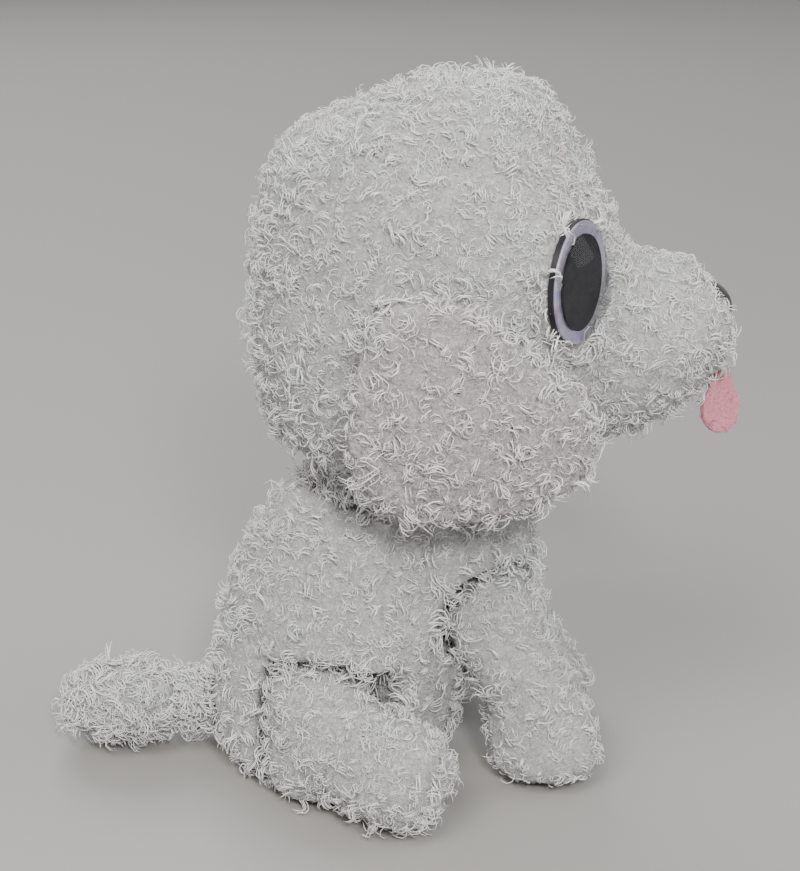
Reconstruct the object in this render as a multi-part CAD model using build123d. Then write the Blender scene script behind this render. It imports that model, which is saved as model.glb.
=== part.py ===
from build123d import *
import math
import os

# A sitting plush dog. It faces -Y, its left side is +X, and it stands on z = 0.
# Lengths are in millimetres. Soft parts are plain solids just inside the tips of the pile.

SKIN = 1.5  # pile backing with its seam allowance
FILL_GAP = 0.3  # between a skin and the filling inside it
CLEAR = 0.5  # between two parts that move against each other
HAIR = 0.05  # between two parts that are fixed face to face
SEAT_GAP = 0.1  # round hard trim that is set into the stuffing
FAR = 120.0  # longer than any part, for cutting blocks

# Head. A station is (x, y, z, half width, half depth).
SKULL = [
    (0, -4, 66.5, 28.5, 26.0),
    (0, -6, 74, 36.5, 32.5),
    (0, -8, 84.5, 40.0, 35.5),
    (0, -9, 97, 40.5, 36.5),
    (0, -9, 110, 38.8, 35.5),
    (0, -7.5, 122, 34.0, 31.3),
    (0, -11, 130.5, 27.0, 23.5),
    (0, -16, 136, 17.5, 14.5),
    (0, -18, 138.2, 7.5, 6.5),
]
MUZZLE = [
    (0, -28, 87.5, 27.0, 19.5),
    (0, -45, 87.0, 24.0, 18.8),
    (0, -54, 88.6, 21.5, 16.4),
    (0, -61, 90.6, 17.5, 12.2),
    (0, -65, 91.2, 12.5, 8.2),
    (0, -66.8, 91.3, 7.0, 4.6),
]
GUSSET_HALF = 9.0
CHIN_TOP = 88.5
CHIN_REAR = -4.0

# Neck: a stuffed ball that the head turns and nods on.
NECK = Vector(0, -4, 63.5)
NECK_R = 18.5
NECK_BAND_R = 22.0
NECK_BAND_Z = (60.9, 61.8)

# Ears: shells of ellipsoids about one centre, inside an outline seen from the side.
EAR_CENTRE = (0, -7, 95)
EAR_RADII = (41.5, 47.0, 59.5)
EAR_LINING = 1.9
EAR_PLUSH = 2.8
EAR_OUTLINE = [
    (-4, 106.5),
    (-17, 102.5),
    (-28, 93.5),
    (-36.5, 84),
    (-37, 73),
    (-25, 65),
    (-8, 63),
    (4, 69.5),
    (7, 87),
]

# Eyes: a base with a post, an iris disc, a pupil disc and a domed lens on one line.
EYE_AT = (26.0, -34.5, 105.5)
EYE_TURN = 28.0  # degrees outward from straight ahead
EYE_R = 11.5
EYE_BASE = 1.0
EYE_DISC = 0.4
IRIS_IN = 0.3  # how far the iris disc stops short of the rim
EYE_SEAT_OUT = 30.0  # length of the seat cut outward through the pile
PUPIL_R = 8.8
LENS_RISE = 4.8
POST_R = 1.8
POST_LENGTH = 9.0
WASHER_R = 6.0
WASHER_THICK = 1.2
WASHER_BACK = 5.0  # from the back of the base

# Nose
NOSE_AT = Vector(0, -63.6, 95.6)
NOSE_RADII = (5.6, 3.2, 4.2)
NOSE_TILT = 35.0
NOSE_POST_R = 1.5
NOSE_POST = 9.0
NOSE_WASHER_R = 4.0
NOSE_WASHER_BACK = 6.0
NOSE_GAP = 0.15

# Tongue: a felt teardrop that hangs from the mouth, its face turned to the dog's right.
TONGUE_AT = Vector(-2.5, -65.2, 82.0)
TONGUE_YAW = 35.0
TONGUE_THICK = 1.2
TONGUE_R = 5.0
TONGUE_ROOT = 1.4
TONGUE_DROP = 7.2  # hinge line down to the centre of the round end
MOUTH_R = 4.2

# Body
BODY = [
    (0, 13, 0, 25.0, 21.0),
    (0, 12, 6, 28.0, 25.5),
    (0, 10, 17, 28.5, 27.5),
    (0, 4.8, 31, 26.5, 30.8),
    (0, -0.5, 46, 24.5, 31.0),
    (0, -4, 60.5, 23.5, 27.0),
]
CHEST_HALF = 10.0
CHEST_REAR = 0.0
SEAT_THICK = 1.5
POUCH_AT = (0, 13, 12)
POUCH_RADII = (7.5, 16.0, 9.0)
POUCH_SKIN = 0.8

# Front legs (left one; the right one mirrors it)
SHOULDER = Vector(15.5, -21, 34)
SHOULDER_R = 11.0
LEG_INNER = 4.4
SHOULDER_CAP = 2.5  # how much less the round shoulder reaches outward than inward
SHOULDER_ROUND = 5.0
FRONT_LEG = [
    (15.5, -31.5, 0, 8.6, 10.5),
    (15.5, -31.5, 5, 11.0, 13.0),
    (15.5, -30.5, 12, 11.0, 12.5),
    (15.5, -27.5, 20, 10.6, 10.8),
    (15.5, -24.0, 28, 10.2, 10.4),
    (15.5, -21.0, 37, 8.8, 8.8),
]
SOLE_THICK = 1.2
LEG_BACK_PLANE = -14.4

# Hind legs (left one): they lie on the ground and point forward and outward.
HIP = Vector(21.5, 14.0, 0)
HIP_R = 12.0
HIP_TOP = 28.0
HIND_TURN = 41.0  # degrees outward from straight ahead
HIND_LEG = [(2, 11.0, 13.0), (11, 11.8, 12.8), (20, 12.2, 12.2), (27.5, 10.6, 10.4), (31.5, 6.2, 6.5)]
HIND_AXIS_Z = 11.0
HIND_IN = 3.0
HIND_OUT = 15.0
HIP_ROUND = 8.0
SWEEP = 60.0  # longer than a hind leg

# Tail
TAIL_PIVOT = Vector(0, 38.5, 10)
TAIL_ROOT_R = 6.0
TONGUE_TURN = math.radians(TONGUE_YAW)
TONGUE_REACH = TONGUE_R * math.cos(TONGUE_TURN) + TONGUE_THICK / 2 * math.sin(TONGUE_TURN)
TAIL_TIP_Y = TONGUE_REACH - TONGUE_AT.Y  # as far behind the origin as the tongue is in front of it
TAIL = [
    (0, 43.0, 10.0, 6.5, 6.5),
    (0, 49.5, 10.0, 9.2, 8.8),
    (0, 59.0, 9.8, 9.6, 9.0),
    (0, 66.0, 9.6, 7.0, 6.6),
    (0, TAIL_TIP_Y, 9.5, 3.0, 3.0),
]


def ellipse_loft(stations, along, across=(1, 0, 0), inset=0.0):
    """A smooth solid through ellipses square to along; a station is (x, y, z, half width, half height)."""
    along = Vector(*along)
    rings = []
    for i, (x, y, z, half_w, half_h) in enumerate(stations):
        step = inset * ((i == 0) - (i == len(stations) - 1))
        plane = Plane(origin=Vector(x, y, z) + along * step, x_dir=across, z_dir=along)
        rings.append(plane * Ellipse(half_w - inset, half_h - inset))
    return loft(rings)


def block(x, y, z):
    """A box from its low and high limits on each axis."""
    size = [high - low for low, high in (x, y, z)]
    middle = [(low + high) / 2 for low, high in (x, y, z)]
    return Pos(*middle) * Box(*size)


def ball(centre, radii):
    """An ellipsoid."""
    return Pos(*centre) * scale(Sphere(1), by=radii)


def rod(centre, radius, direction, start, end):
    """A cylinder about a line through centre, from start to end along direction."""
    plane = Plane(origin=Vector(*centre) + Vector(*direction) * start, z_dir=direction)
    return extrude(plane * Circle(radius), end - start)


def write(shape, name):
    export_step(shape, f"parts/{name}.step")


def write_pair(shape, name):
    """Writes the left piece as modelled and its mirror image as the right piece."""
    write(shape, name + "_left")
    write(mirror(shape, about=Plane.YZ), name + "_right")


def head_form(inset):
    skull = ellipse_loft(SKULL, (0, 0, 1), inset=inset)
    muzzle = ellipse_loft(MUZZLE[::-1], (0, 1, 0), inset=inset)
    return skull + muzzle


def eye_frame():
    """The left eye's centre and its outward direction."""
    turn = math.radians(EYE_TURN)
    return Vector(*EYE_AT), Vector(math.sin(turn), -math.cos(turn), 0)


def eye_parts():
    """The left eye, from its lock washer out to its lens."""
    at, out = eye_frame()
    post = rod(at, POST_R, out, -EYE_BASE - POST_LENGTH, -EYE_BASE)
    base = rod(at, EYE_R, out, -EYE_BASE, 0) + post
    iris = rod(at, EYE_R - IRIS_IN, out, 0, EYE_DISC)
    pupil = rod(at, PUPIL_R, out, EYE_DISC, 2 * EYE_DISC)
    lens_start = 2 * EYE_DISC + HAIR
    dome_r = (EYE_R**2 + LENS_RISE**2) / (2 * LENS_RISE)
    dome_centre = at + out * (lens_start + LENS_RISE - dome_r)
    dome = Pos(*dome_centre) * Sphere(dome_r)
    lens = dome & rod(at, EYE_R, out, lens_start, lens_start + 2 * LENS_RISE)
    washer_end = -EYE_BASE - WASHER_BACK
    washer = rod(at, WASHER_R, out, washer_end - WASHER_THICK, washer_end)
    washer -= rod(at, POST_R + HAIR, out, washer_end - 2 * WASHER_THICK, washer_end + 1)
    return {"eye_base": base, "eye_iris": iris, "eye_pupil": pupil, "eye_lens": lens, "eye_washer": washer}


def eye_hollow():
    """The room that one eye, its post and its washer need in the head."""
    at, out = eye_frame()
    seat = rod(at, EYE_R + FILL_GAP, out, -EYE_BASE - HAIR, EYE_SEAT_OUT)
    post = rod(at, POST_R + SEAT_GAP, out, -EYE_BASE - POST_LENGTH - SEAT_GAP, 0)
    end = -EYE_BASE - WASHER_BACK
    washer = rod(at, WASHER_R + SEAT_GAP, out, end - WASHER_THICK - SEAT_GAP, end + SEAT_GAP)
    return seat + post + washer


def nose_form(grow=0.0):
    """The nose button with its post, grown all round by grow."""
    tilt = Location(NOSE_AT, (-NOSE_TILT, 0, 0))
    button = scale(Sphere(1), by=tuple(r + grow for r in NOSE_RADII))
    post = rod((0, 0, 0), NOSE_POST_R + grow, (0, 1, 0), 0, NOSE_POST + grow)
    return tilt * (button + post)


def nose_washer(grow=0.0):
    tilt = Location(NOSE_AT, (-NOSE_TILT, 0, 0))
    front = NOSE_WASHER_BACK - grow
    back = NOSE_WASHER_BACK + WASHER_THICK + grow
    return tilt * rod((0, 0, 0), NOSE_WASHER_R + grow, (0, 1, 0), front, back)


def head_hollows():
    """Everything that is cut out of both the head's skin and its stuffing."""
    eye = eye_hollow()
    neck = Pos(*NECK) * Sphere(NECK_R + CLEAR)
    mouth = Pos(*TONGUE_AT) * Sphere(MOUTH_R)
    return [eye, mirror(eye, about=Plane.YZ), neck, mouth, nose_form(NOSE_GAP), nose_washer(SEAT_GAP)]


def head():
    shell = head_form(0) - head_form(SKIN)
    stuffing = head_form(SKIN + FILL_GAP)
    for hollow in head_hollows():
        shell -= hollow
        stuffing -= hollow
    middle = block((-GUSSET_HALF, GUSSET_HALF), (-FAR, FAR), (0, 2 * FAR))
    chin_room = block((-GUSSET_HALF, GUSSET_HALF), (-FAR, CHIN_REAR), (0, CHIN_TOP))
    write_pair(shell & block((GUSSET_HALF, FAR), (-FAR, FAR), (0, 2 * FAR)), "head_side")
    write(shell & middle - chin_room, "head_gusset")
    write(shell & chin_room, "chin_panel")
    write(stuffing, "head_stuffing")
    for name, piece in eye_parts().items():
        write_pair(piece, name)
    write(nose_form(), "nose_button")
    write(nose_washer() - nose_form(HAIR), "nose_washer")


def ear():
    """The left ear, a curly outer layer on a smooth lining."""
    outline = make_face(Spline([(0, y, z) for y, z in EAR_OUTLINE], periodic=True))
    room = extrude(outline, FAR, dir=(1, 0, 0))

    def shell(inner, outer):
        grown = [tuple(r + step for r in EAR_RADII) for step in (inner, outer)]
        return (ball(EAR_CENTRE, grown[1]) - ball(EAR_CENTRE, grown[0])) & room

    write_pair(shell(0, EAR_LINING), "ear_lining")
    write_pair(shell(EAR_LINING + HAIR, EAR_LINING + EAR_PLUSH), "ear_plush")


def tongue():
    """A teardrop: a round end below a root that narrows to the mouth."""
    across = (math.sin(TONGUE_TURN), -math.cos(TONGUE_TURN), 0)
    facing = (-math.cos(TONGUE_TURN), -math.sin(TONGUE_TURN), 0)
    plane = Plane(origin=TONGUE_AT, x_dir=across, z_dir=facing)
    end = Pos(0, -TONGUE_DROP) * Circle(TONGUE_R)
    root = Pos(0, 0) * Circle(TONGUE_ROOT)
    outline = make_hull(end.edges() + root.edges())
    write(extrude(plane * outline, TONGUE_THICK / 2, both=True), "tongue")


def neck():
    stuffing = Pos(*NECK) * Sphere(NECK_R)
    low, high = NECK_BAND_Z
    band = rod((NECK.X, NECK.Y, 0), NECK_BAND_R, (0, 0, 1), low, high)
    band -= rod((NECK.X, NECK.Y, 0), NECK_R + HAIR, (0, 0, 1), low - 1, high + 1)
    write(stuffing, "neck_stuffing")
    write(band, "neck_band")


def front_leg_form(inset):
    """The left front leg: a round shoulder about X and a column that ends in a paw."""
    inner = LEG_INNER + inset
    outer = 2 * SHOULDER.X - LEG_INNER - SHOULDER_CAP - inset
    shoulder = rod((0, SHOULDER.Y, SHOULDER.Z), SHOULDER_R - inset, (1, 0, 0), inner, outer)
    shoulder = fillet(shoulder.edges().filter_by(GeomType.CIRCLE).group_by(Axis.X)[-1], SHOULDER_ROUND)
    return shoulder + ellipse_loft(FRONT_LEG, (0, 0, 1), inset=inset)


def front_leg_room():
    """What the left front leg sweeps, taken out of the body."""
    side = (LEG_INNER - CLEAR, FAR)
    shoulder = rod((0, SHOULDER.Y, SHOULDER.Z), SHOULDER_R + CLEAR, (1, 0, 0), *side)
    return shoulder + block(side, (-FAR, LEG_BACK_PLANE), (-1, SHOULDER.Z))


def hind_leg_form(inset):
    """The left hind leg: an upright hip and a thigh and foot that lie on the ground."""
    turn = math.radians(HIND_TURN)
    along = (math.sin(turn), -math.cos(turn), 0)
    across = (math.cos(turn), math.sin(turn), 0)
    stations = []
    for reach, half_w, half_h in HIND_LEG:
        at = HIP + Vector(*along) * reach
        stations.append((at.X, at.Y, HIND_AXIS_Z, half_w, half_h))
    foot = ellipse_loft(stations, along, across, inset)
    hip = rod(HIP, HIP_R - inset, (0, 0, 1), inset, HIP_TOP - inset)
    hip = fillet(hip.edges().filter_by(GeomType.CIRCLE).group_by(Axis.Z)[-1], HIP_ROUND - inset)
    return (hip + foot) & block((-FAR, FAR), (-FAR, FAR), (inset, FAR))


def hind_leg_room():
    """What the left hind leg sweeps, taken out of the body."""
    reach = HIP_R + CLEAR
    corners = [HIP]
    for angle, side in ((HIND_TURN - HIND_IN, -1), (HIND_TURN + HIND_OUT, 1)):
        turn = math.radians(angle)
        along = Vector(math.sin(turn), -math.cos(turn), 0)
        edge = HIP + Vector(math.cos(turn), math.sin(turn), 0) * (reach * side)
        pair = [edge, edge + along * SWEEP]
        corners += pair if side < 0 else pair[::-1]
    sweep = extrude(make_face(Polyline(*corners, close=True)), HIP_TOP + CLEAR)
    return sweep + rod(HIP, reach, (0, 0, 1), -1, HIP_TOP + CLEAR)


def leg(form, name):
    """Skin, stuffing and a smooth sole from one leg form."""
    outer = form(0)
    sole_room = block((-FAR, FAR), (-FAR, FAR), (-1, SOLE_THICK))
    write_pair(outer & sole_room, name + "_sole")
    write_pair(outer - form(SKIN) - sole_room, name + "_skin")
    write_pair(form(SKIN + FILL_GAP), name + "_stuffing")


def body():
    outer = ellipse_loft(BODY, (0, 0, 1))
    inner = ellipse_loft(BODY, (0, 0, 1), inset=SKIN)
    shell = outer - inner
    stuffing = ellipse_loft(BODY, (0, 0, 1), inset=SKIN + FILL_GAP)
    legs = front_leg_room() + hind_leg_room()
    hollows = [legs, mirror(legs, about=Plane.YZ)]
    hollows.append(Pos(*NECK) * Sphere(NECK_R + CLEAR))
    hollows.append(Pos(*TAIL_PIVOT) * Sphere(TAIL_ROOT_R + CLEAR))
    for hollow in hollows:
        shell -= hollow
        stuffing -= hollow
    seat_room = block((-FAR, FAR), (-FAR, FAR), (-1, SEAT_THICK))
    chest_room = block((-CHEST_HALF, CHEST_HALF), (-FAR, CHEST_REAR), (SEAT_THICK, FAR))
    left_room = block((0, FAR), (-FAR, FAR), (SEAT_THICK, FAR)) - chest_room
    write(shell & seat_room, "seat_panel")
    write(shell & chest_room, "chest_panel")
    write_pair(shell & left_room, "body_side")
    pouch = ball(POUCH_AT, POUCH_RADII)
    pellets = ball(POUCH_AT, tuple(r - POUCH_SKIN for r in POUCH_RADII))
    write(stuffing - ball(POUCH_AT, tuple(r + FILL_GAP for r in POUCH_RADII)), "body_stuffing")
    write(pouch - pellets, "pellet_pouch")
    write(ball(POUCH_AT, tuple(r - POUCH_SKIN - FILL_GAP for r in POUCH_RADII)), "pellets")


def tail():
    socket = Pos(*TAIL_PIVOT) * Sphere(TAIL_ROOT_R + CLEAR)
    outer = ellipse_loft(TAIL, (0, 1, 0))
    write(outer - ellipse_loft(TAIL, (0, 1, 0), inset=SKIN) - socket, "tail_skin")
    write(ellipse_loft(TAIL, (0, 1, 0), inset=SKIN + FILL_GAP) - socket, "tail_stuffing")
    write(Pos(*TAIL_PIVOT) * Sphere(TAIL_ROOT_R), "tail_root")


os.makedirs("parts", exist_ok=True)
head()
ear()
tongue()
neck()
body()
leg(front_leg_form, "front_leg")
leg(hind_leg_form, "hind_leg")
tail()
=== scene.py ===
import math

import bpy
import numpy as np
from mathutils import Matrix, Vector
from mathutils.bvhtree import BVHTree


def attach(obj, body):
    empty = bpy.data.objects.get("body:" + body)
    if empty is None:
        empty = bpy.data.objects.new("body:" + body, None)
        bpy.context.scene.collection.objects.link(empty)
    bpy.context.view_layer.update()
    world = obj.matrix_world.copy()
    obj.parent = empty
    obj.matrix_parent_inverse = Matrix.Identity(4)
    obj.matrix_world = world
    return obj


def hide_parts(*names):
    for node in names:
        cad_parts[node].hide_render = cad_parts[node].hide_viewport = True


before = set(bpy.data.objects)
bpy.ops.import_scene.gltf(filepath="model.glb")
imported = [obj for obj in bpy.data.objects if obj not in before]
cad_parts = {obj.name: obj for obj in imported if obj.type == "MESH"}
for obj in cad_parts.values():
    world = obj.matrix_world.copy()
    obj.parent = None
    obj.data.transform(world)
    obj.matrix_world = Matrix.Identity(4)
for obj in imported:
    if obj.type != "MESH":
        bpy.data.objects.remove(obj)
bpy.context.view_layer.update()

# ---------------------------------------------------------------------------------------------
# Table, lights and camera. The dog sits on a plain pale table under soft light from the upper
# left, with a smaller light beside the camera that makes the shiny fibres sparkle.
MM = 0.001
AIM = Vector((0, -2.2 * MM, 68 * MM))
CAMERA_DISTANCE = 0.380
CAMERA_RISE = math.radians(17.8)
CAMERA_LENS = 78.5


def pointed_at(obj, place, target):
    """Puts a lamp or a camera at place and turns it to look at target."""
    obj.location = place
    obj.rotation_euler = (target - Vector(place)).to_track_quat("-Z", "Y").to_euler()


def soft_box(name, place, width, height, power, colour):
    bpy.ops.object.select_all(action="DESELECT")
    bpy.ops.object.light_add(type="AREA")
    lamp = bpy.context.object
    lamp.name = name
    lamp.data.shape = "RECTANGLE"
    lamp.data.size = width
    lamp.data.size_y = height
    lamp.data.energy = power
    lamp.data.color = colour
    pointed_at(lamp, place, AIM)


bpy.ops.object.select_all(action="DESELECT")
bpy.ops.mesh.primitive_plane_add(size=6)
table_top = bpy.context.object
table_top.name = "table_top"
table_finish = bpy.data.materials.new("pale table")
table_finish.use_nodes = True
table_shader = table_finish.node_tree.nodes["Principled BSDF"]
table_shader.inputs["Base Color"].default_value = (0.32, 0.305, 0.285, 1)
table_shader.inputs["Roughness"].default_value = 0.6
table_top.data.materials.append(table_finish)

soft_box("key light", (-0.9, 0.5, 1.3), 0.8, 0.8, 19.0, (1, 0.985, 0.96))
soft_box("camera light", (-0.60, -0.10, 0.42), 0.10, 0.10, 5.0, (1, 1, 1))
soft_box("fill light", (-0.1, -1.4, 0.9), 1.0, 1.0, 10.0, (0.95, 0.97, 1))
soft_box("back light", (1.3, 0.5, 1.2), 1.0, 1.0, 16.0, (0.96, 0.98, 1))

world = bpy.data.worlds.new("soft room")
bpy.context.scene.world = world
world.use_nodes = True
world.node_tree.nodes["Background"].inputs["Color"].default_value = (0.80, 0.82, 0.85, 1)
world.node_tree.nodes["Background"].inputs["Strength"].default_value = 0.55

bpy.ops.object.camera_add()
camera = bpy.context.object
camera.data.lens = CAMERA_LENS
camera.data.clip_start = 0.01
back_off = Vector((-math.cos(CAMERA_RISE), 0, math.sin(CAMERA_RISE))) * CAMERA_DISTANCE
pointed_at(camera, AIM + back_off, AIM)
bpy.context.scene.camera = camera

# ---------------------------------------------------------------------------------------------
# Body. A sewn bag of curly plush, two sides and a chest panel on a short-pile seat, blown full of
# fibre with a pouch of beads at the bottom. The seams pull in and the panels crown between them.
BLOW_UP = 20.0  # cloth is blown up at this scale, where its stiffness suits the part
CLOTH_FRAMES = 20
FLOOR_LIFT = 0.25 * MM  # of the lowest pile off the table
SIDES = ("left", "right")


def cad_copy(name, nodes):
    """One loose object joined from copies of CAD solids."""
    bpy.ops.object.select_all(action="DESELECT")
    for node in nodes:
        part = bpy.data.objects.new(name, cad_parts[node].data.copy())
        bpy.context.scene.collection.objects.link(part)
        part.data.materials.clear()
        part.select_set(True)
        bpy.context.view_layer.objects.active = part
    if len(nodes) > 1:
        bpy.ops.object.join()
    made = bpy.context.view_layer.objects.active
    made.name = name
    return made


def apply_modifiers(obj):
    bpy.ops.object.select_all(action="DESELECT")
    obj.select_set(True)
    bpy.context.view_layer.objects.active = obj
    for modifier in list(obj.modifiers):
        bpy.ops.object.modifier_apply(modifier=modifier.name)


def points_of(obj):
    points = np.empty(len(obj.data.vertices) * 3)
    obj.data.vertices.foreach_get("co", points)
    return points.reshape(-1, 3)


def set_points(obj, points):
    obj.data.vertices.foreach_set("co", points.ravel())
    obj.data.update()


def normals_of(obj):
    normals = np.empty(len(obj.data.vertices) * 3)
    obj.data.vertices.foreach_get("normal", normals)
    return normals.reshape(-1, 3)


def surface_tree(mesh):
    return BVHTree.FromPolygons([v.co for v in mesh.vertices], [f.vertices for f in mesh.polygons])


def clearance(points, nodes):
    """How far each point is from the nearest of these CAD solids."""
    trees = [surface_tree(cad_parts[node].data) for node in nodes]
    return np.array([min(tree.find_nearest(point)[3] for tree in trees) for point in points.tolist()])


def held_near(points, nodes, tight=0.8, free=2.4):
    """1 up to tight mm from these CAD solids, falling to 0 at free mm."""
    return np.clip((free * MM - clearance(points, nodes)) / ((free - tight) * MM), 0, 1)


def largest_shell(obj):
    """Deletes every loose bit of the mesh but the largest."""
    bpy.ops.object.select_all(action="DESELECT")
    obj.select_set(True)
    bpy.context.view_layer.objects.active = obj
    bpy.ops.object.mode_set(mode="EDIT")
    bpy.ops.mesh.select_all(action="SELECT")
    bpy.ops.mesh.separate(type="LOOSE")
    bpy.ops.object.mode_set(mode="OBJECT")
    bits = sorted(bpy.context.selected_objects, key=lambda o: len(o.data.vertices))
    for bit in bits[:-1]:
        bpy.data.objects.remove(bit)
    bits[-1].name = obj.name if bits[-1] == obj else bits[-1].name
    return bits[-1]


LUMP_WAVES = np.array([[310, 0, 170], [0, 290, -210], [250, -190, 0]])  # three crossing waves, per metre


def stuffed(name, nodes, voxel, swell, hold, lumps=0.35, tuft=0.25):
    """A stuffed shape: the filling's form, remeshed, blown up as cloth, and held back at its seams.

    swell is how far the cloth may move out, and hold(points) the share of that which seams and
    neighbours take away at each point. tuft is how uneven the pile's roots are, in mm.
    """
    form = cad_copy(name, nodes)
    remesh = form.modifiers.new("remesh", "REMESH")
    remesh.mode = "VOXEL"
    remesh.voxel_size = voxel
    apply_modifiers(form)
    form = largest_shell(form)
    form.name = name
    smooth = form.modifiers.new("smooth", "SMOOTH")
    smooth.iterations = 3
    apply_modifiers(form)
    start = points_of(form)
    outward = normals_of(form)
    set_points(form, start * BLOW_UP)
    cloth = form.modifiers.new("cloth", "CLOTH")
    cloth.settings.quality = 4
    cloth.settings.mass = 0.1
    cloth.settings.tension_stiffness = 6
    cloth.settings.compression_stiffness = 6
    cloth.settings.bending_stiffness = 0.3
    cloth.settings.use_pressure = True
    cloth.settings.uniform_pressure_force = 6
    cloth.settings.effector_weights.gravity = 0
    cloth.collision_settings.use_collision = False
    cloth.point_cache.frame_start = 1
    cloth.point_cache.frame_end = CLOTH_FRAMES
    for step in range(1, CLOTH_FRAMES + 1):
        bpy.context.scene.frame_set(step)
    apply_modifiers(form)
    bpy.context.scene.frame_set(1)
    moved = points_of(form) / BLOW_UP
    shift = moved - start
    far = np.linalg.norm(shift, axis=1)
    free = 1 - hold(start)
    moved = start + shift * (np.minimum(far, swell * free) / np.maximum(far, 1e-9))[:, None]
    waves = np.sin(moved @ LUMP_WAVES + 1.3).sum(axis=1)
    moved += outward * (waves * free * lumps * MM / 3)[:, None]
    moved[:, 2] = np.maximum(moved[:, 2], FLOOR_LIFT)
    set_points(form, moved)
    finer = form.modifiers.new("finer", "SUBSURF")
    finer.levels = 1
    finer.render_levels = 1
    apply_modifiers(form)
    moved = points_of(form)
    tufts = np.random.default_rng(len(moved)).normal(size=len(moved)) * tuft * MM
    moved += normals_of(form) * tufts[:, None]
    moved[:, 2] = np.maximum(moved[:, 2], FLOOR_LIFT)
    set_points(form, moved)
    form.data.shade_smooth()
    return form


def near(value, place, width):
    """1 where value is at place, falling smoothly to 0 at width from it."""
    return np.exp(-((value - place) / width) ** 2)


# A curl is a helix of three-sided thread that thins to its tip. A few are modelled, and every curl
# of the pile is a copy of one, turned, leaned and sized by a seeded draw.
CURL_STEPS = 5
STRETCH = 10  # curls are turned this much too tall, to tell their rings apart
CURL_THICK = 0.125 * MM
CURLS = [  # turn in degrees, width and rise in mm
    (330, 0.75, 1.3),
    (-300, 0.9, 1.1),
    (250, 1.0, 1.6),
    (-380, 0.6, 1.5),
    (200, 1.3, 1.4),
    (-230, 1.1, 1.2),
]


def model_curl(turn, width, rise):
    """One curl, its root at the origin: (points, faces, height of each point from 0 to 1)."""
    bpy.ops.object.select_all(action="DESELECT")
    place = (width * MM, 0, 0)
    upright = (math.pi / 2, 0, 0)
    bpy.ops.mesh.primitive_circle_add(vertices=3, radius=CURL_THICK, location=place, rotation=upright)
    curl = bpy.context.object
    bpy.ops.object.transform_apply(location=True, rotation=True, scale=True)
    screw = curl.modifiers.new("turn", "SCREW")
    screw.angle = math.radians(turn)
    screw.screw_offset = rise * STRETCH * MM
    screw.steps = CURL_STEPS
    screw.render_steps = CURL_STEPS
    screw.use_smooth_shade = True
    bpy.ops.object.modifier_apply(modifier=screw.name)
    step = rise * STRETCH * MM / CURL_STEPS
    for low, high, close in ((-1, 0.5, "FILL"), (CURL_STEPS - 0.5, CURL_STEPS + 1, "TIP")):
        bpy.ops.object.mode_set(mode="EDIT")
        bpy.ops.mesh.select_all(action="DESELECT")
        bpy.ops.object.mode_set(mode="OBJECT")
        for vertex in curl.data.vertices:
            vertex.select = low * step < vertex.co.z < high * step
        bpy.ops.object.mode_set(mode="EDIT")
        if close == "FILL":
            bpy.ops.mesh.edge_face_add()
        else:
            bpy.ops.mesh.merge(type="CENTER")
        bpy.ops.object.mode_set(mode="OBJECT")
    bpy.ops.object.mode_set(mode="EDIT")
    bpy.ops.mesh.select_all(action="SELECT")
    bpy.ops.mesh.normals_make_consistent(inside=False)
    bpy.ops.mesh.quads_convert_to_tris()
    bpy.ops.object.mode_set(mode="OBJECT")
    points = points_of(curl)
    faces = np.array([list(face.vertices) for face in curl.data.polygons])
    height = np.clip(np.round(points[:, 2] / step) / CURL_STEPS, 0, 1)
    angle = height * math.radians(turn)
    spine = np.stack([np.cos(angle) * width, np.sin(angle) * width, height * rise * STRETCH], axis=1) * MM
    points = (points - spine) * (1 - 0.45 * height)[:, None] + spine / (1, 1, STRETCH) - [width * MM, 0, 0]
    bpy.data.objects.remove(curl)
    return points, faces, height


curl_models = [model_curl(*curl) for curl in CURLS]
CURL_POINTS = np.array([points for points, faces, height in curl_models])
CURL_FACES = np.array([faces for points, faces, height in curl_models])
CURL_HEIGHT = curl_models[0][2]
CLUMP = 4  # curls that grow, turn and lean together as one lock


CURL_JITTER = 0.24  # how much the curls of one clump lean apart
CURL_SINK = 0.3 * MM  # of a curl's root below the cloth


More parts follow.
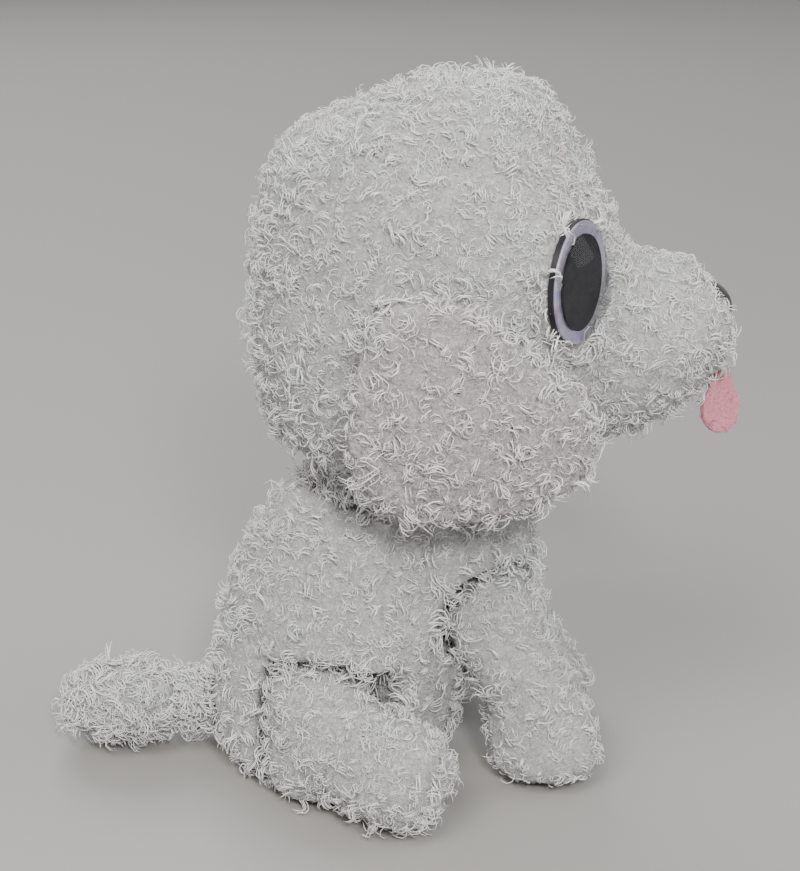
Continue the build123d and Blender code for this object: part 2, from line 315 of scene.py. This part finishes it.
def grow_curls(
    name, form, count, seed, keep=None, size=1.0, lean=0.75, comb=(0, 0, -0.3), spread=0.45, longer=None
):
    """count curls on the outside of form, in clumps.

    keep(points, normals) says where they may grow and longer(points) how much longer they are there.
    """
    rng = np.random.default_rng(seed)
    form.data.calc_loop_triangles()
    corners = np.empty(len(form.data.loop_triangles) * 3, dtype=int)
    form.data.loop_triangles.foreach_get("vertices", corners)
    corners = corners.reshape(-1, 3)
    points = points_of(form)
    normals = normals_of(form)
    sides = points[corners]
    area = np.linalg.norm(np.cross(sides[:, 1] - sides[:, 0], sides[:, 2] - sides[:, 0]), axis=1)
    if keep is not None:
        area = area * keep(sides.mean(axis=1), normals[corners].mean(axis=1))
    tries = count // CLUMP * 5
    picked = rng.choice(len(corners), size=tries, p=area / area.sum())
    mix = rng.dirichlet((1, 1, 1), size=tries)
    root = (points[corners[picked]] * mix[:, :, None]).sum(axis=1)
    cell = math.sqrt(0.85 * area.sum() / (count // CLUMP))  # one clump in each, so the cover is even
    chosen = np.unique(np.floor(root / cell).astype(int), axis=0, return_index=True)[1]
    root = root[chosen]
    up = (normals[corners[picked[chosen]]] * mix[chosen][:, :, None]).sum(axis=1)
    up /= np.linalg.norm(up, axis=1)[:, None]
    clumps = len(chosen)
    length = longer(root) if longer else np.ones(clumps)
    drift = rng.normal(size=(clumps, 3)) * lean + np.array(comb)
    drift -= up * (drift * up).sum(axis=1)[:, None]

    root = np.repeat(root, CLUMP, axis=0)
    up = np.repeat(up, CLUMP, axis=0)
    drift = np.repeat(drift, CLUMP, axis=0)
    total = len(root)
    offset = rng.normal(size=(total, 3)) * spread * MM
    offset -= up * (offset * up).sum(axis=1)[:, None]
    rise = up + drift + rng.normal(size=(total, 3)) * CURL_JITTER
    rise /= np.linalg.norm(rise, axis=1)[:, None]
    turn = np.repeat(rng.normal(size=(clumps, 3)), CLUMP, axis=0)
    turn += rng.normal(size=(total, 3)) * 0.25
    across = np.cross(rise, turn)
    across /= np.linalg.norm(across, axis=1)[:, None]
    other = np.cross(rise, across)
    scale = size * np.repeat(rng.uniform(0.75, 1.3, clumps) * length, CLUMP) * rng.uniform(0.85, 1.15, total)
    scale = scale[:, None, None]
    kind = np.repeat(rng.integers(len(CURLS), size=clumps), CLUMP)
    turned = np.einsum("npk,nkj->npj", CURL_POINTS[kind] * scale, np.stack([across, other, rise], axis=1))
    placed = turned + (root + offset - up * CURL_SINK)[:, None, :]
    placed[:, :, 2] = np.maximum(placed[:, :, 2], FLOOR_LIFT)
    per_curl = CURL_POINTS.shape[1]
    faces = (CURL_FACES[kind] + (np.arange(total) * per_curl)[:, None, None]).reshape(-1, 3)

    mesh = bpy.data.meshes.new(name)
    mesh.vertices.add(total * per_curl)
    mesh.vertices.foreach_set("co", placed.ravel())
    mesh.loops.add(faces.size)
    mesh.loops.foreach_set("vertex_index", faces.ravel())
    mesh.polygons.add(len(faces))
    mesh.polygons.foreach_set("loop_start", np.arange(0, faces.size, 3))
    mesh.update(calc_edges=True)
    mesh.shade_smooth()
    height = mesh.attributes.new("pile_height", "FLOAT", "POINT")
    height.data.foreach_set("value", np.tile(CURL_HEIGHT, total))
    tone = mesh.attributes.new("pile_tone", "FLOAT", "POINT")
    tone.data.foreach_set("value", np.repeat(rng.uniform(0, 1, total), per_curl))
    curls = bpy.data.objects.new(name, mesh)
    bpy.context.scene.collection.objects.link(curls)
    return curls


def pile_group():
    """Colour and roughness of pile: cool and warm patches, painted shade that darkens each curl towards its
    root, so the shiny tips are brighter.
    """
    group = bpy.data.node_groups.new("pile colour", "ShaderNodeTree")
    face = group.interface
    cool = face.new_socket("Cool", in_out="INPUT", socket_type="NodeSocketColor")
    warm = face.new_socket("Warm", in_out="INPUT", socket_type="NodeSocketColor")
    # the root colour is painted shade: the colour a curl darkens to at its root, deep in the pile
    root = face.new_socket("Root Shade", in_out="INPUT", socket_type="NodeSocketColor")
    patch = face.new_socket("Patch Scale", in_out="INPUT", socket_type="NodeSocketFloat")
    face.new_socket("Colour", in_out="OUTPUT", socket_type="NodeSocketColor")
    face.new_socket("Roughness", in_out="OUTPUT", socket_type="NodeSocketFloat")
    cool.default_value = (0.80, 0.81, 0.81, 1)
    warm.default_value = (0.83, 0.79, 0.75, 1)
    root.default_value = (0.55, 0.53, 0.51, 1)
    patch.default_value = 60
    nodes = group.nodes
    link = group.links.new
    given = nodes.new("NodeGroupInput")
    result = nodes.new("NodeGroupOutput")
    place = nodes.new("ShaderNodeTexCoord")
    patches = nodes.new("ShaderNodeTexNoise")
    patches.inputs["Detail"].default_value = 3
    link(place.outputs["Object"], patches.inputs["Vector"])
    link(given.outputs["Patch Scale"], patches.inputs["Scale"])
    spread = nodes.new("ShaderNodeMapRange")
    spread.inputs["From Min"].default_value = 0.36
    spread.inputs["From Max"].default_value = 0.64
    link(patches.outputs["Fac"], spread.inputs["Value"])
    tint = nodes.new("ShaderNodeMix")
    tint.data_type = "RGBA"
    link(spread.outputs["Result"], tint.inputs["Factor"])
    link(given.outputs["Cool"], tint.inputs[6])
    link(given.outputs["Warm"], tint.inputs[7])
    height = nodes.new("ShaderNodeAttribute")
    height.attribute_name = "pile_height"
    grow = nodes.new("ShaderNodeMapRange")
    grow.inputs["From Max"].default_value = 0.6
    link(height.outputs["Fac"], grow.inputs["Value"])
    # painted shade: low on each curl its colour falls to the root colour
    shade = nodes.new("ShaderNodeMix")
    shade.data_type = "RGBA"
    link(grow.outputs["Result"], shade.inputs["Factor"])
    link(given.outputs["Root Shade"], shade.inputs[6])
    link(tint.outputs[2], shade.inputs[7])
    tone = nodes.new("ShaderNodeAttribute")
    tone.attribute_name = "pile_tone"
    level = nodes.new("ShaderNodeMapRange")
    level.inputs["To Min"].default_value = 0.86
    level.inputs["To Max"].default_value = 1.10
    link(tone.outputs["Fac"], level.inputs["Value"])
    bright = nodes.new("ShaderNodeMix")
    bright.data_type = "RGBA"
    bright.blend_type = "MULTIPLY"
    bright.inputs["Factor"].default_value = 1
    link(shade.outputs[2], bright.inputs[6])
    link(level.outputs["Result"], bright.inputs[7])
    gloss = nodes.new("ShaderNodeMapRange")
    gloss.inputs["To Min"].default_value = 0.20
    gloss.inputs["To Max"].default_value = 0.46
    link(tone.outputs["Fac"], gloss.inputs["Value"])
    link(bright.outputs[2], result.inputs["Colour"])
    link(gloss.outputs["Result"], result.inputs["Roughness"])
    return group


def nap_shading_group():
    """Matted pile nap on cloth: a colour with painted shade in its hollows and painted light on its ridges,
    and the height of its swirls.
    """
    group = bpy.data.node_groups.new("pile nap with painted shade", "ShaderNodeTree")
    group.interface.new_socket("Colour", in_out="INPUT", socket_type="NodeSocketColor")
    group.interface.new_socket("Colour", in_out="OUTPUT", socket_type="NodeSocketColor")
    group.interface.new_socket("Height", in_out="OUTPUT", socket_type="NodeSocketFloat")
    nodes = group.nodes
    link = group.links.new
    given = nodes.new("NodeGroupInput")
    result = nodes.new("NodeGroupOutput")
    place = nodes.new("ShaderNodeTexCoord")
    nap = nodes.new("ShaderNodeTexNoise")
    nap.inputs["Scale"].default_value = 640
    nap.inputs["Detail"].default_value = 6
    nap.inputs["Roughness"].default_value = 0.7
    nap.inputs["Distortion"].default_value = 2.6
    # painted shade and light: the colour is multiplied by 0.62 in the nap's hollows up to 1.28 on its ridges
    depth = nodes.new("ShaderNodeMapRange")
    depth.inputs["From Min"].default_value = 0.34
    depth.inputs["From Max"].default_value = 0.66
    depth.inputs["To Min"].default_value = 0.62
    depth.inputs["To Max"].default_value = 1.28
    nap_shade = nodes.new("ShaderNodeMix")
    nap_shade.data_type = "RGBA"
    nap_shade.blend_type = "MULTIPLY"
    nap_shade.inputs["Factor"].default_value = 1
    link(place.outputs["Object"], nap.inputs["Vector"])
    link(nap.outputs["Fac"], depth.inputs["Value"])
    link(given.outputs["Colour"], nap_shade.inputs[6])
    link(depth.outputs["Result"], nap_shade.inputs[7])
    link(nap_shade.outputs[2], result.inputs["Colour"])
    link(nap.outputs["Fac"], result.inputs["Height"])
    return group


PILE = pile_group()
NAP_SHADING = nap_shading_group()
# cool, warm and root colours; the darker root colour is painted shade low in the pile
WHITE = ((0.80, 0.81, 0.81, 1), (0.83, 0.79, 0.75, 1), (0.66, 0.65, 0.63, 1))


def plush(name, colours=WHITE, bump=False):
    """Curly or short pile: the shared colour group, a soft sheen and, on cloth, a fine nap with painted shade
    in its hollows and painted light on its ridges. Cloth has no pile_height, so it takes the root's painted
    shade all over.
    """
    finish = bpy.data.materials.new(name)
    finish.use_nodes = True
    nodes = finish.node_tree.nodes
    link = finish.node_tree.links.new
    shader = nodes["Principled BSDF"]
    shader.inputs["Sheen Weight"].default_value = 0.25
    shader.inputs["Sheen Roughness"].default_value = 0.4
    shader.inputs["Specular IOR Level"].default_value = 0.9
    pile = nodes.new("ShaderNodeGroup")
    pile.node_tree = PILE
    # the third colour is the root's painted shade
    for socket, colour in zip(("Cool", "Warm", "Root Shade"), colours):
        pile.inputs[socket].default_value = colour
    link(pile.outputs["Colour"], shader.inputs["Base Color"])
    link(pile.outputs["Roughness"], shader.inputs["Roughness"])
    if bump:
        nap = nodes.new("ShaderNodeGroup")
        nap.node_tree = NAP_SHADING
        raised = nodes.new("ShaderNodeBump")
        raised.inputs["Distance"].default_value = 1.2 * MM
        link(pile.outputs["Colour"], nap.inputs["Colour"])
        link(nap.outputs["Colour"], shader.inputs["Base Color"])
        link(nap.outputs["Height"], raised.inputs["Height"])
        link(raised.outputs["Normal"], shader.inputs["Normal"])
    return finish


curly_white = plush("white curly pile")
# the cloth seen between the curls is the root's painted shade all over
plush_cloth = plush("white plush cloth", bump=True)


def body_hold(points):
    back = near(points[:, 0], 0, 2.0 * MM) * (points[:, 1] > 0)
    chest = near(np.abs(points[:, 0]), 10 * MM, 1.6 * MM) * (points[:, 1] < 0)
    base = near(points[:, 2], 1.5 * MM, 1.5 * MM)
    seams = np.maximum(np.maximum(back, chest), base) * 0.75
    return np.maximum(seams, held_near(points, BODY_NEIGHBOURS))


def sewn_in(form, body, fill, *stands_for, finish=None, slot="curly_plush"):
    """Gives a stuffed form its cloth, hides the CAD solids it stands for and hangs it on the body it rides
    on; fill, how full it is, is not used.
    """
    form.data.materials.append(finish or plush_cloth)
    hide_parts(*stands_for)
    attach(form, body)


BODY_NEIGHBOURS = [f"{leg}_leg_skin_{side}" for leg in ("front", "hind") for side in SIDES]
BODY_NEIGHBOURS += ["neck_stuffing", "tail_root"]
body_form = stuffed("body_plush", ["body_stuffing", "pellet_pouch", "pellets"], 2.4 * MM, 1.9 * MM, body_hold)
body_panels = ["body_side_left", "body_side_right", "chest_panel", "seat_panel", "body_stuffing"]
sewn_in(body_form, "torso", 0.8, *body_panels, "pellet_pouch", "pellets")


def clothe(
    form, body, name, count, seed, neighbours=(), keep=None, finish=None, slot="curly_plush", gap=0.6, **look
):
    """Curls over a form, but not where a neighbour lies against it or on the face it rests on."""

    def open_air(points, normals):
        free = (normals[:, 2] > -0.8) | (points[:, 2] > 4 * MM)
        if neighbours:
            free &= clearance(points, neighbours) > gap * MM
        return free * (keep(points) if keep else 1.0)

    def over_seams(points):
        return 1 + 0.6 * np.clip(1 - clearance(points, neighbours) / (5 * MM), 0, 1)

    longer = over_seams if neighbours else None
    curls = grow_curls(name, form, count, seed, open_air, longer=longer, **look)
    curls.data.materials.append(finish or curly_white)
    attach(curls, body)
    return curls


clothe(body_form, "torso", "body_curls_left", 4900, 11, BODY_NEIGHBOURS, lambda p: p[:, 0] > 0)
clothe(body_form, "torso", "body_curls_right", 4900, 12, BODY_NEIGHBOURS, lambda p: p[:, 0] <= 0)

# ---------------------------------------------------------------------------------------------
# Hind legs. Stuffed plush tubes sewn on at the hips, lying on the table and splayed forward and
# outward, each with a sole of shorter pile.
def leg_hold(points):
    return 0.7 * near(points[:, 2], 1.2 * MM, 1.2 * MM)


def clear_of_sole(points):
    """Fewer curls on the underside of a paw, which has a sole of short pile."""
    return np.clip((points[:, 2] - 1.5 * MM) / (5 * MM), 0.12, 1)


def make_legs(kind, fill, count, seed, size):
    """The left and right leg of one kind, with their curls."""
    for number, side in enumerate(SIDES):
        name = f"{kind}_leg_{side}"
        form = stuffed(f"{name}_plush", [f"{kind}_leg_stuffing_{side}"], 2.0 * MM, 1.8 * MM, leg_hold)
        sewn_in(form, name, fill, *[f"{kind}_leg_{piece}_{side}" for piece in ("skin", "stuffing", "sole")])
        curls = f"{name}_curls"
        clothe(form, name, curls, count, seed + number, ["body_stuffing"], clear_of_sole, size=size)


make_legs("hind", 0.75, 3600, 21, size=1.0)

# ---------------------------------------------------------------------------------------------
# Front legs. Straight stuffed legs sewn on at the shoulders, with plump paws that point forward.
make_legs("front", 0.8, 3300, 31, size=0.9)

# ---------------------------------------------------------------------------------------------
# Tail. A short stuffed tube with the longest curls of all, on a narrow stuffed root.
def held_nowhere(points):
    return np.zeros(len(points))


def at_joint(points):
    return near(points[:, 1], 42 * MM, 2.5 * MM)


tail_root = stuffed("tail_root_plush", ["tail_root"], 1.2 * MM, 0.2 * MM, held_nowhere, lumps=0)
sewn_in(tail_root, "tail_root", 0.8, "tail_root")
clothe(tail_root, "tail_root", "tail_root_curls", 900, 41, keep=at_joint, size=1.3)


def tail_hold(points):
    return held_near(points, ["tail_root"])


tail_form = stuffed("tail_plush", ["tail_stuffing"], 1.6 * MM, 1.7 * MM, tail_hold)
sewn_in(tail_form, "tail", 0.6, "tail_skin", "tail_stuffing")
clothe(tail_form, "tail", "tail_curls", 3000, 42, ["tail_root"], size=1.25, lean=0.65, comb=(0, 0.25, -0.1))

# ---------------------------------------------------------------------------------------------
# Neck. The stuffed ball on which the head turns and nods, with a collar of curls in the gap.
NECK_Z = 63.5 * MM


def in_the_gap(points):
    return near(points[:, 2], NECK_Z, 3.2 * MM)


neck_form = stuffed("neck_plush", ["neck_stuffing"], 2.4 * MM, 0.1 * MM, held_nowhere, lumps=0)
sewn_in(neck_form, "neck", 0.9, "neck_stuffing", "neck_band")
clothe(neck_form, "neck", "neck_curls", 2200, 45, keep=in_the_gap, size=1.5, comb=(0, 0, 0))

# ---------------------------------------------------------------------------------------------
# Head. Two side panels, a centre gusset from the nose over the crown to the nape and a chin panel,
# stuffed hard. The eyes are pulled into it, so the pile closes over their rims.
GUSSET = 9 * MM
CHIN_TOP = 88.5 * MM
CHIN_FRONT = -50 * MM
HEAD_NEIGHBOURS = ["neck_stuffing", "tongue"]
HEAD_NEIGHBOURS += [f"eye_{part}_{side}" for part in ("lens", "base") for side in SIDES]


def head_hold(points):
    gusset = near(np.abs(points[:, 0]), GUSSET, 2.0 * MM)
    under_muzzle = (np.abs(points[:, 0]) < GUSSET) * (points[:, 1] < CHIN_FRONT)
    chin = near(points[:, 2], CHIN_TOP, 1.5 * MM) * under_muzzle
    trim = np.maximum(held_near(points, HEAD_NEIGHBOURS), held_near(points, ["nose_button"], 2.0, 5.0))
    return np.maximum(np.maximum(gusset, chin) * 0.55, trim)


head_fill = ["head_stuffing", "nose_washer"]
head_fill += [f"eye_{part}_{side}" for part in ("base", "washer") for side in SIDES]
head_form = stuffed("head_plush", head_fill, 2.3 * MM, 1.9 * MM, head_hold)
head_panels = ["head_side_left", "head_side_right", "head_gusset", "chin_panel", "head_stuffing"]
sewn_in(head_form, "head", 0.85, *head_panels)

FACE_LINE = -22 * MM  # in front of this the curls are shorter
NOSE_BARE = 1.3 * MM  # round the nose button


def off_nose(points):
    return clearance(points, ["nose_button"]) > NOSE_BARE


for number, (side, sign) in enumerate((("left", 1), ("right", -1))):

    def back_of_side(p, sign=sign):
        return (p[:, 0] * sign > GUSSET) & (p[:, 1] >= FACE_LINE)

    def front_of_side(p, sign=sign):
        return (p[:, 0] * sign > GUSSET) & (p[:, 1] < FACE_LINE) & off_nose(p)

    back = f"head_curls_{side}"
    face = f"face_curls_{side}"
    clothe(head_form, "head", back, 6800, 51 + number, HEAD_NEIGHBOURS, back_of_side)
    clothe(head_form, "head", face, 4300, 53 + number, HEAD_NEIGHBOURS, front_of_side, size=0.9)


def on_gusset(points):
    return (np.abs(points[:, 0]) <= GUSSET) & off_nose(points)


clothe(head_form, "head", "gusset_curls", 4600, 55, HEAD_NEIGHBOURS, on_gusset, size=0.9)

# ---------------------------------------------------------------------------------------------
# Ears. Each is two layers sewn together and turned: curly plush outside, smooth lining inside.
# They hang from the top of the head's sides and are a touch warmer than the head.
# cool, warm and root colours; the darker root colour is painted shade low in the pile
EAR_WHITE = ((0.80, 0.79, 0.79, 1), (0.84, 0.77, 0.75, 1), (0.66, 0.62, 0.60, 1))
curly_ear = plush("warm white curly pile", EAR_WHITE)
# the lining has no pile_height, so all of it takes the root's painted shade
ear_cloth = plush("ear lining cloth", EAR_WHITE, bump=True)
EAR_LOOK = {"gap": 2.6, "size": 1.1, "lean": 0.7, "comb": (0, 0, -0.45)}
EAR_LOOK.update(finish=curly_ear, slot="ear_plush")
for number, side in enumerate(SIDES):
    ear = f"ear_{side}"
    layers = [f"ear_plush_{side}", f"ear_lining_{side}"]
    head_nodes = [f"head_side_{side}"]

    def ear_hold(points, head_nodes=head_nodes):
        return held_near(points, head_nodes, 1.2, 2.5)

    ear_form = stuffed(f"{ear}_form", layers, 1.3 * MM, 0.5 * MM, ear_hold, lumps=0.5)
    sewn_in(ear_form, ear, 0.3, *layers, finish=ear_cloth, slot="ear_lining")
    clothe(ear_form, ear, f"{ear}_curls", 3600, 61 + number, head_nodes, **EAR_LOOK)

# ---------------------------------------------------------------------------------------------
# Eyes. A black base with a post and a push-on washer, a foil iris, a printed black pupil and a clear
# moulded dome over them. The foil turns from silver to lilac, rose and blue.
def hard(name, colour, roughness, metallic=0.0, coat=0.0):
    finish = bpy.data.materials.new(name)
    finish.use_nodes = True
    shader = finish.node_tree.nodes["Principled BSDF"]
    shader.inputs["Base Color"].default_value = colour
    shader.inputs["Roughness"].default_value = roughness
    shader.inputs["Metallic"].default_value = metallic
    shader.inputs["Coat Weight"].default_value = coat
    shader.inputs["Coat Roughness"].default_value = 0.04
    return finish


def dress(finish, *nodes):
    """Gives CAD pieces this material."""
    for node in nodes:
        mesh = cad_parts[node].data
        mesh.materials.clear()
        mesh.materials.append(finish)


def both(*parts):
    return [f"{part}_{side}" for part in parts for side in SIDES]


def shine_group():
    """A roughness that wanders between two values over the surface."""
    group = bpy.data.node_groups.new("uneven shine", "ShaderNodeTree")
    for name in ("Scale", "Low", "High"):
        group.interface.new_socket(name, in_out="INPUT", socket_type="NodeSocketFloat")
    group.interface.new_socket("Roughness", in_out="OUTPUT", socket_type="NodeSocketFloat")
    nodes = group.nodes
    link = group.links.new
    given = nodes.new("NodeGroupInput")
    result = nodes.new("NodeGroupOutput")
    place = nodes.new("ShaderNodeTexCoord")
    grain = nodes.new("ShaderNodeTexNoise")
    span = nodes.new("ShaderNodeMapRange")
    link(place.outputs["Object"], grain.inputs["Vector"])
    link(given.outputs["Scale"], grain.inputs["Scale"])
    link(grain.outputs["Fac"], span.inputs["Value"])
    link(given.outputs["Low"], span.inputs["To Min"])
    link(given.outputs["High"], span.inputs["To Max"])
    link(span.outputs["Result"], result.inputs["Roughness"])
    return group


SHINE = shine_group()


def uneven_shine(finish, scale, low, high):
    shine = finish.node_tree.nodes.new("ShaderNodeGroup")
    shine.node_tree = SHINE
    shine.inputs["Scale"].default_value = scale
    shine.inputs["Low"].default_value = low
    shine.inputs["High"].default_value = high
    shader = finish.node_tree.nodes["Principled BSDF"]
    finish.node_tree.links.new(shine.outputs["Roughness"], shader.inputs["Roughness"])


eye_black = hard("black eye base", (0.012, 0.012, 0.014, 1), 0.3)
uneven_shine(eye_black, 900, 0.22, 0.4)
dress(eye_black, *both("eye_base"))
pupil_black = hard("black printed pupil", (0.010, 0.009, 0.011, 1), 0.2)
uneven_shine(pupil_black, 700, 0.5, 0.7)
pupil_black.node_tree.nodes["Principled BSDF"].inputs["Specular IOR Level"].default_value = 0.1
dress(pupil_black, *both("eye_pupil"))
washer_white = hard("natural washer plastic", (0.74, 0.73, 0.68, 1), 0.5)
uneven_shine(washer_white, 1200, 0.4, 0.62)
dress(washer_white, "nose_washer", *both("eye_washer"))

clear_dome = hard("clear moulded dome", (0.97, 0.97, 1.0, 1), 0.0)
dome_shader = clear_dome.node_tree.nodes["Principled BSDF"]
dome_shader.inputs["Transmission Weight"].default_value = 1.0
dome_shader.inputs["IOR"].default_value = 1.01  # the foil is glued to the dome, so nothing bends between them
dome_shader.inputs["Coat Weight"].default_value = 0.2
dome_shader.inputs["Coat Roughness"].default_value = 0.02
uneven_shine(clear_dome, 60, 0.0, 0.03)
dress(clear_dome, *both("eye_lens"))

foil = hard("lilac and silver foil", (0.5, 0.48, 0.6, 1), 0.28, metallic=0.55)
foil_nodes = foil.node_tree.nodes
foil_link = foil.node_tree.links.new
foil_place = foil_nodes.new("ShaderNodeTexCoord")
foil_noise = foil_nodes.new("ShaderNodeTexNoise")
foil_noise.inputs["Scale"].default_value = 130
foil_noise.inputs["Distortion"].default_value = 0.8
foil_ramp = foil_nodes.new("ShaderNodeValToRGB")
foil_ramp.color_ramp.elements[0].position = 0.30
foil_ramp.color_ramp.elements[0].color = (0.26, 0.29, 0.52, 1)
foil_ramp.color_ramp.elements[1].position = 0.72
foil_ramp.color_ramp.elements[1].color = (0.50, 0.30, 0.38, 1)
FOIL_TINTS = ((0.42, (0.42, 0.38, 0.56, 1)), (0.52, (0.56, 0.55, 0.60, 1)), (0.62, (0.46, 0.38, 0.50, 1)))
for place, colour in FOIL_TINTS:
    foil_ramp.color_ramp.elements.new(place).color = colour
foil_link(foil_place.outputs["Object"], foil_noise.inputs["Vector"])
foil_link(foil_noise.outputs["Fac"], foil_ramp.inputs["Fac"])
foil_link(foil_ramp.outputs["Color"], foil_nodes["Principled BSDF"].inputs["Base Color"])
dress(foil, *both("eye_iris"))

# ---------------------------------------------------------------------------------------------
# Nose. A glossy black moulded button, a little uneven, with a nostril pressed in on each side.
nose_black = hard("black glossy nose", (0.014, 0.013, 0.013, 1), 0.2, coat=0.5)
uneven_shine(nose_black, 500, 0.14, 0.3)
nose_nodes = nose_black.node_tree.nodes
nose_link = nose_black.node_tree.links.new
nose_place = nose_nodes.new("ShaderNodeTexCoord")
dents = []
for side in (-1, 1):
    away = nose_nodes.new("ShaderNodeVectorMath")
    away.operation = "DISTANCE"
    away.inputs[1].default_value = (side * 3.3 * MM, -65.6 * MM, 96.6 * MM)
    dent = nose_nodes.new("ShaderNodeMapRange")
    dent.interpolation_type = "SMOOTHSTEP"
    dent.inputs["From Min"].default_value = 0.5 * MM
    dent.inputs["From Max"].default_value = 1.5 * MM
    nose_link(nose_place.outputs["Object"], away.inputs[0])
    nose_link(away.outputs["Value"], dent.inputs["Value"])
    dents.append(dent)
dented = nose_nodes.new("ShaderNodeMath")
dented.operation = "MULTIPLY"
nose_bump = nose_nodes.new("ShaderNodeBump")
nose_bump.inputs["Distance"].default_value = 0.9 * MM
nose_link(dents[0].outputs["Result"], dented.inputs[0])
nose_link(dents[1].outputs["Result"], dented.inputs[1])
nose_link(dented.outputs["Value"], nose_bump.inputs["Height"])
nose_link(nose_bump.outputs["Normal"], nose_nodes["Principled BSDF"].inputs["Normal"])
dress(nose_black, "nose_button")

# ---------------------------------------------------------------------------------------------
# Tongue. A teardrop cut from pink felt and caught in the mouth seam; its end curls out a little and
# loose fibres stand off both faces and the cut edge.
TONGUE_TOP = 82.0 * MM
TONGUE_LENGTH = 12.2 * MM
TONGUE_YAW = math.radians(35)  # it faces the dog's right
TONGUE_CURL = 1.1 * MM
tongue = cad_copy("felt_tongue", ["tongue"])
tongue_mesh = tongue.modifiers.new("remesh", "REMESH")
tongue_mesh.mode = "VOXEL"
tongue_mesh.voxel_size = 0.34 * MM
tongue_soft = tongue.modifiers.new("soft edge", "SMOOTH")
tongue_soft.iterations = 3
apply_modifiers(tongue)
points = points_of(tongue)
down = np.clip((TONGUE_TOP - points[:, 2]) / TONGUE_LENGTH, 0, 1)
facing = np.array([-math.cos(TONGUE_YAW), -math.sin(TONGUE_YAW), 0])
points += facing * (down**2 * TONGUE_CURL)[:, None]
points += normals_of(tongue) * (np.random.default_rng(71).normal(size=len(points)) * 0.03 * MM)[:, None]
set_points(tongue, points)
tongue.data.shade_smooth()
pink_felt = hard("pink felt", (0.62, 0.2, 0.26, 1), 0.85)
felt_nodes = pink_felt.node_tree.nodes
felt_link = pink_felt.node_tree.links.new
felt_nodes["Principled BSDF"].inputs["Sheen Weight"].default_value = 0.35
felt_place = felt_nodes.new("ShaderNodeTexCoord")
felt_grain = felt_nodes.new("ShaderNodeTexNoise")
felt_grain.inputs["Scale"].default_value = 1900
felt_grain.inputs["Detail"].default_value = 5
felt_grain.inputs["Distortion"].default_value = 1.5
felt_ramp = felt_nodes.new("ShaderNodeValToRGB")
felt_ramp.color_ramp.elements[0].position = 0.3
felt_ramp.color_ramp.elements[0].color = (0.46, 0.12, 0.17, 1)
felt_ramp.color_ramp.elements[1].position = 0.7
felt_ramp.color_ramp.elements[1].color = (0.72, 0.26, 0.32, 1)
felt_bump = felt_nodes.new("ShaderNodeBump")
felt_bump.inputs["Distance"].default_value = 0.35 * MM
felt_link(felt_place.outputs["Object"], felt_grain.inputs["Vector"])
felt_link(felt_grain.outputs["Fac"], felt_ramp.inputs["Fac"])
felt_link(felt_ramp.outputs["Color"], felt_nodes["Principled BSDF"].inputs["Base Color"])
felt_link(felt_grain.outputs["Fac"], felt_bump.inputs["Height"])
felt_link(felt_bump.outputs["Normal"], felt_nodes["Principled BSDF"].inputs["Normal"])
tongue.data.materials.append(pink_felt)
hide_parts("tongue")
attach(tongue, "tongue")
fuzz = grow_curls("tongue_fuzz", tongue, 420, 72, size=0.32, lean=0.9, comb=(0, 0, -0.2), spread=0.25)
fuzz.data.materials.append(pink_felt)
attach(fuzz, "tongue")
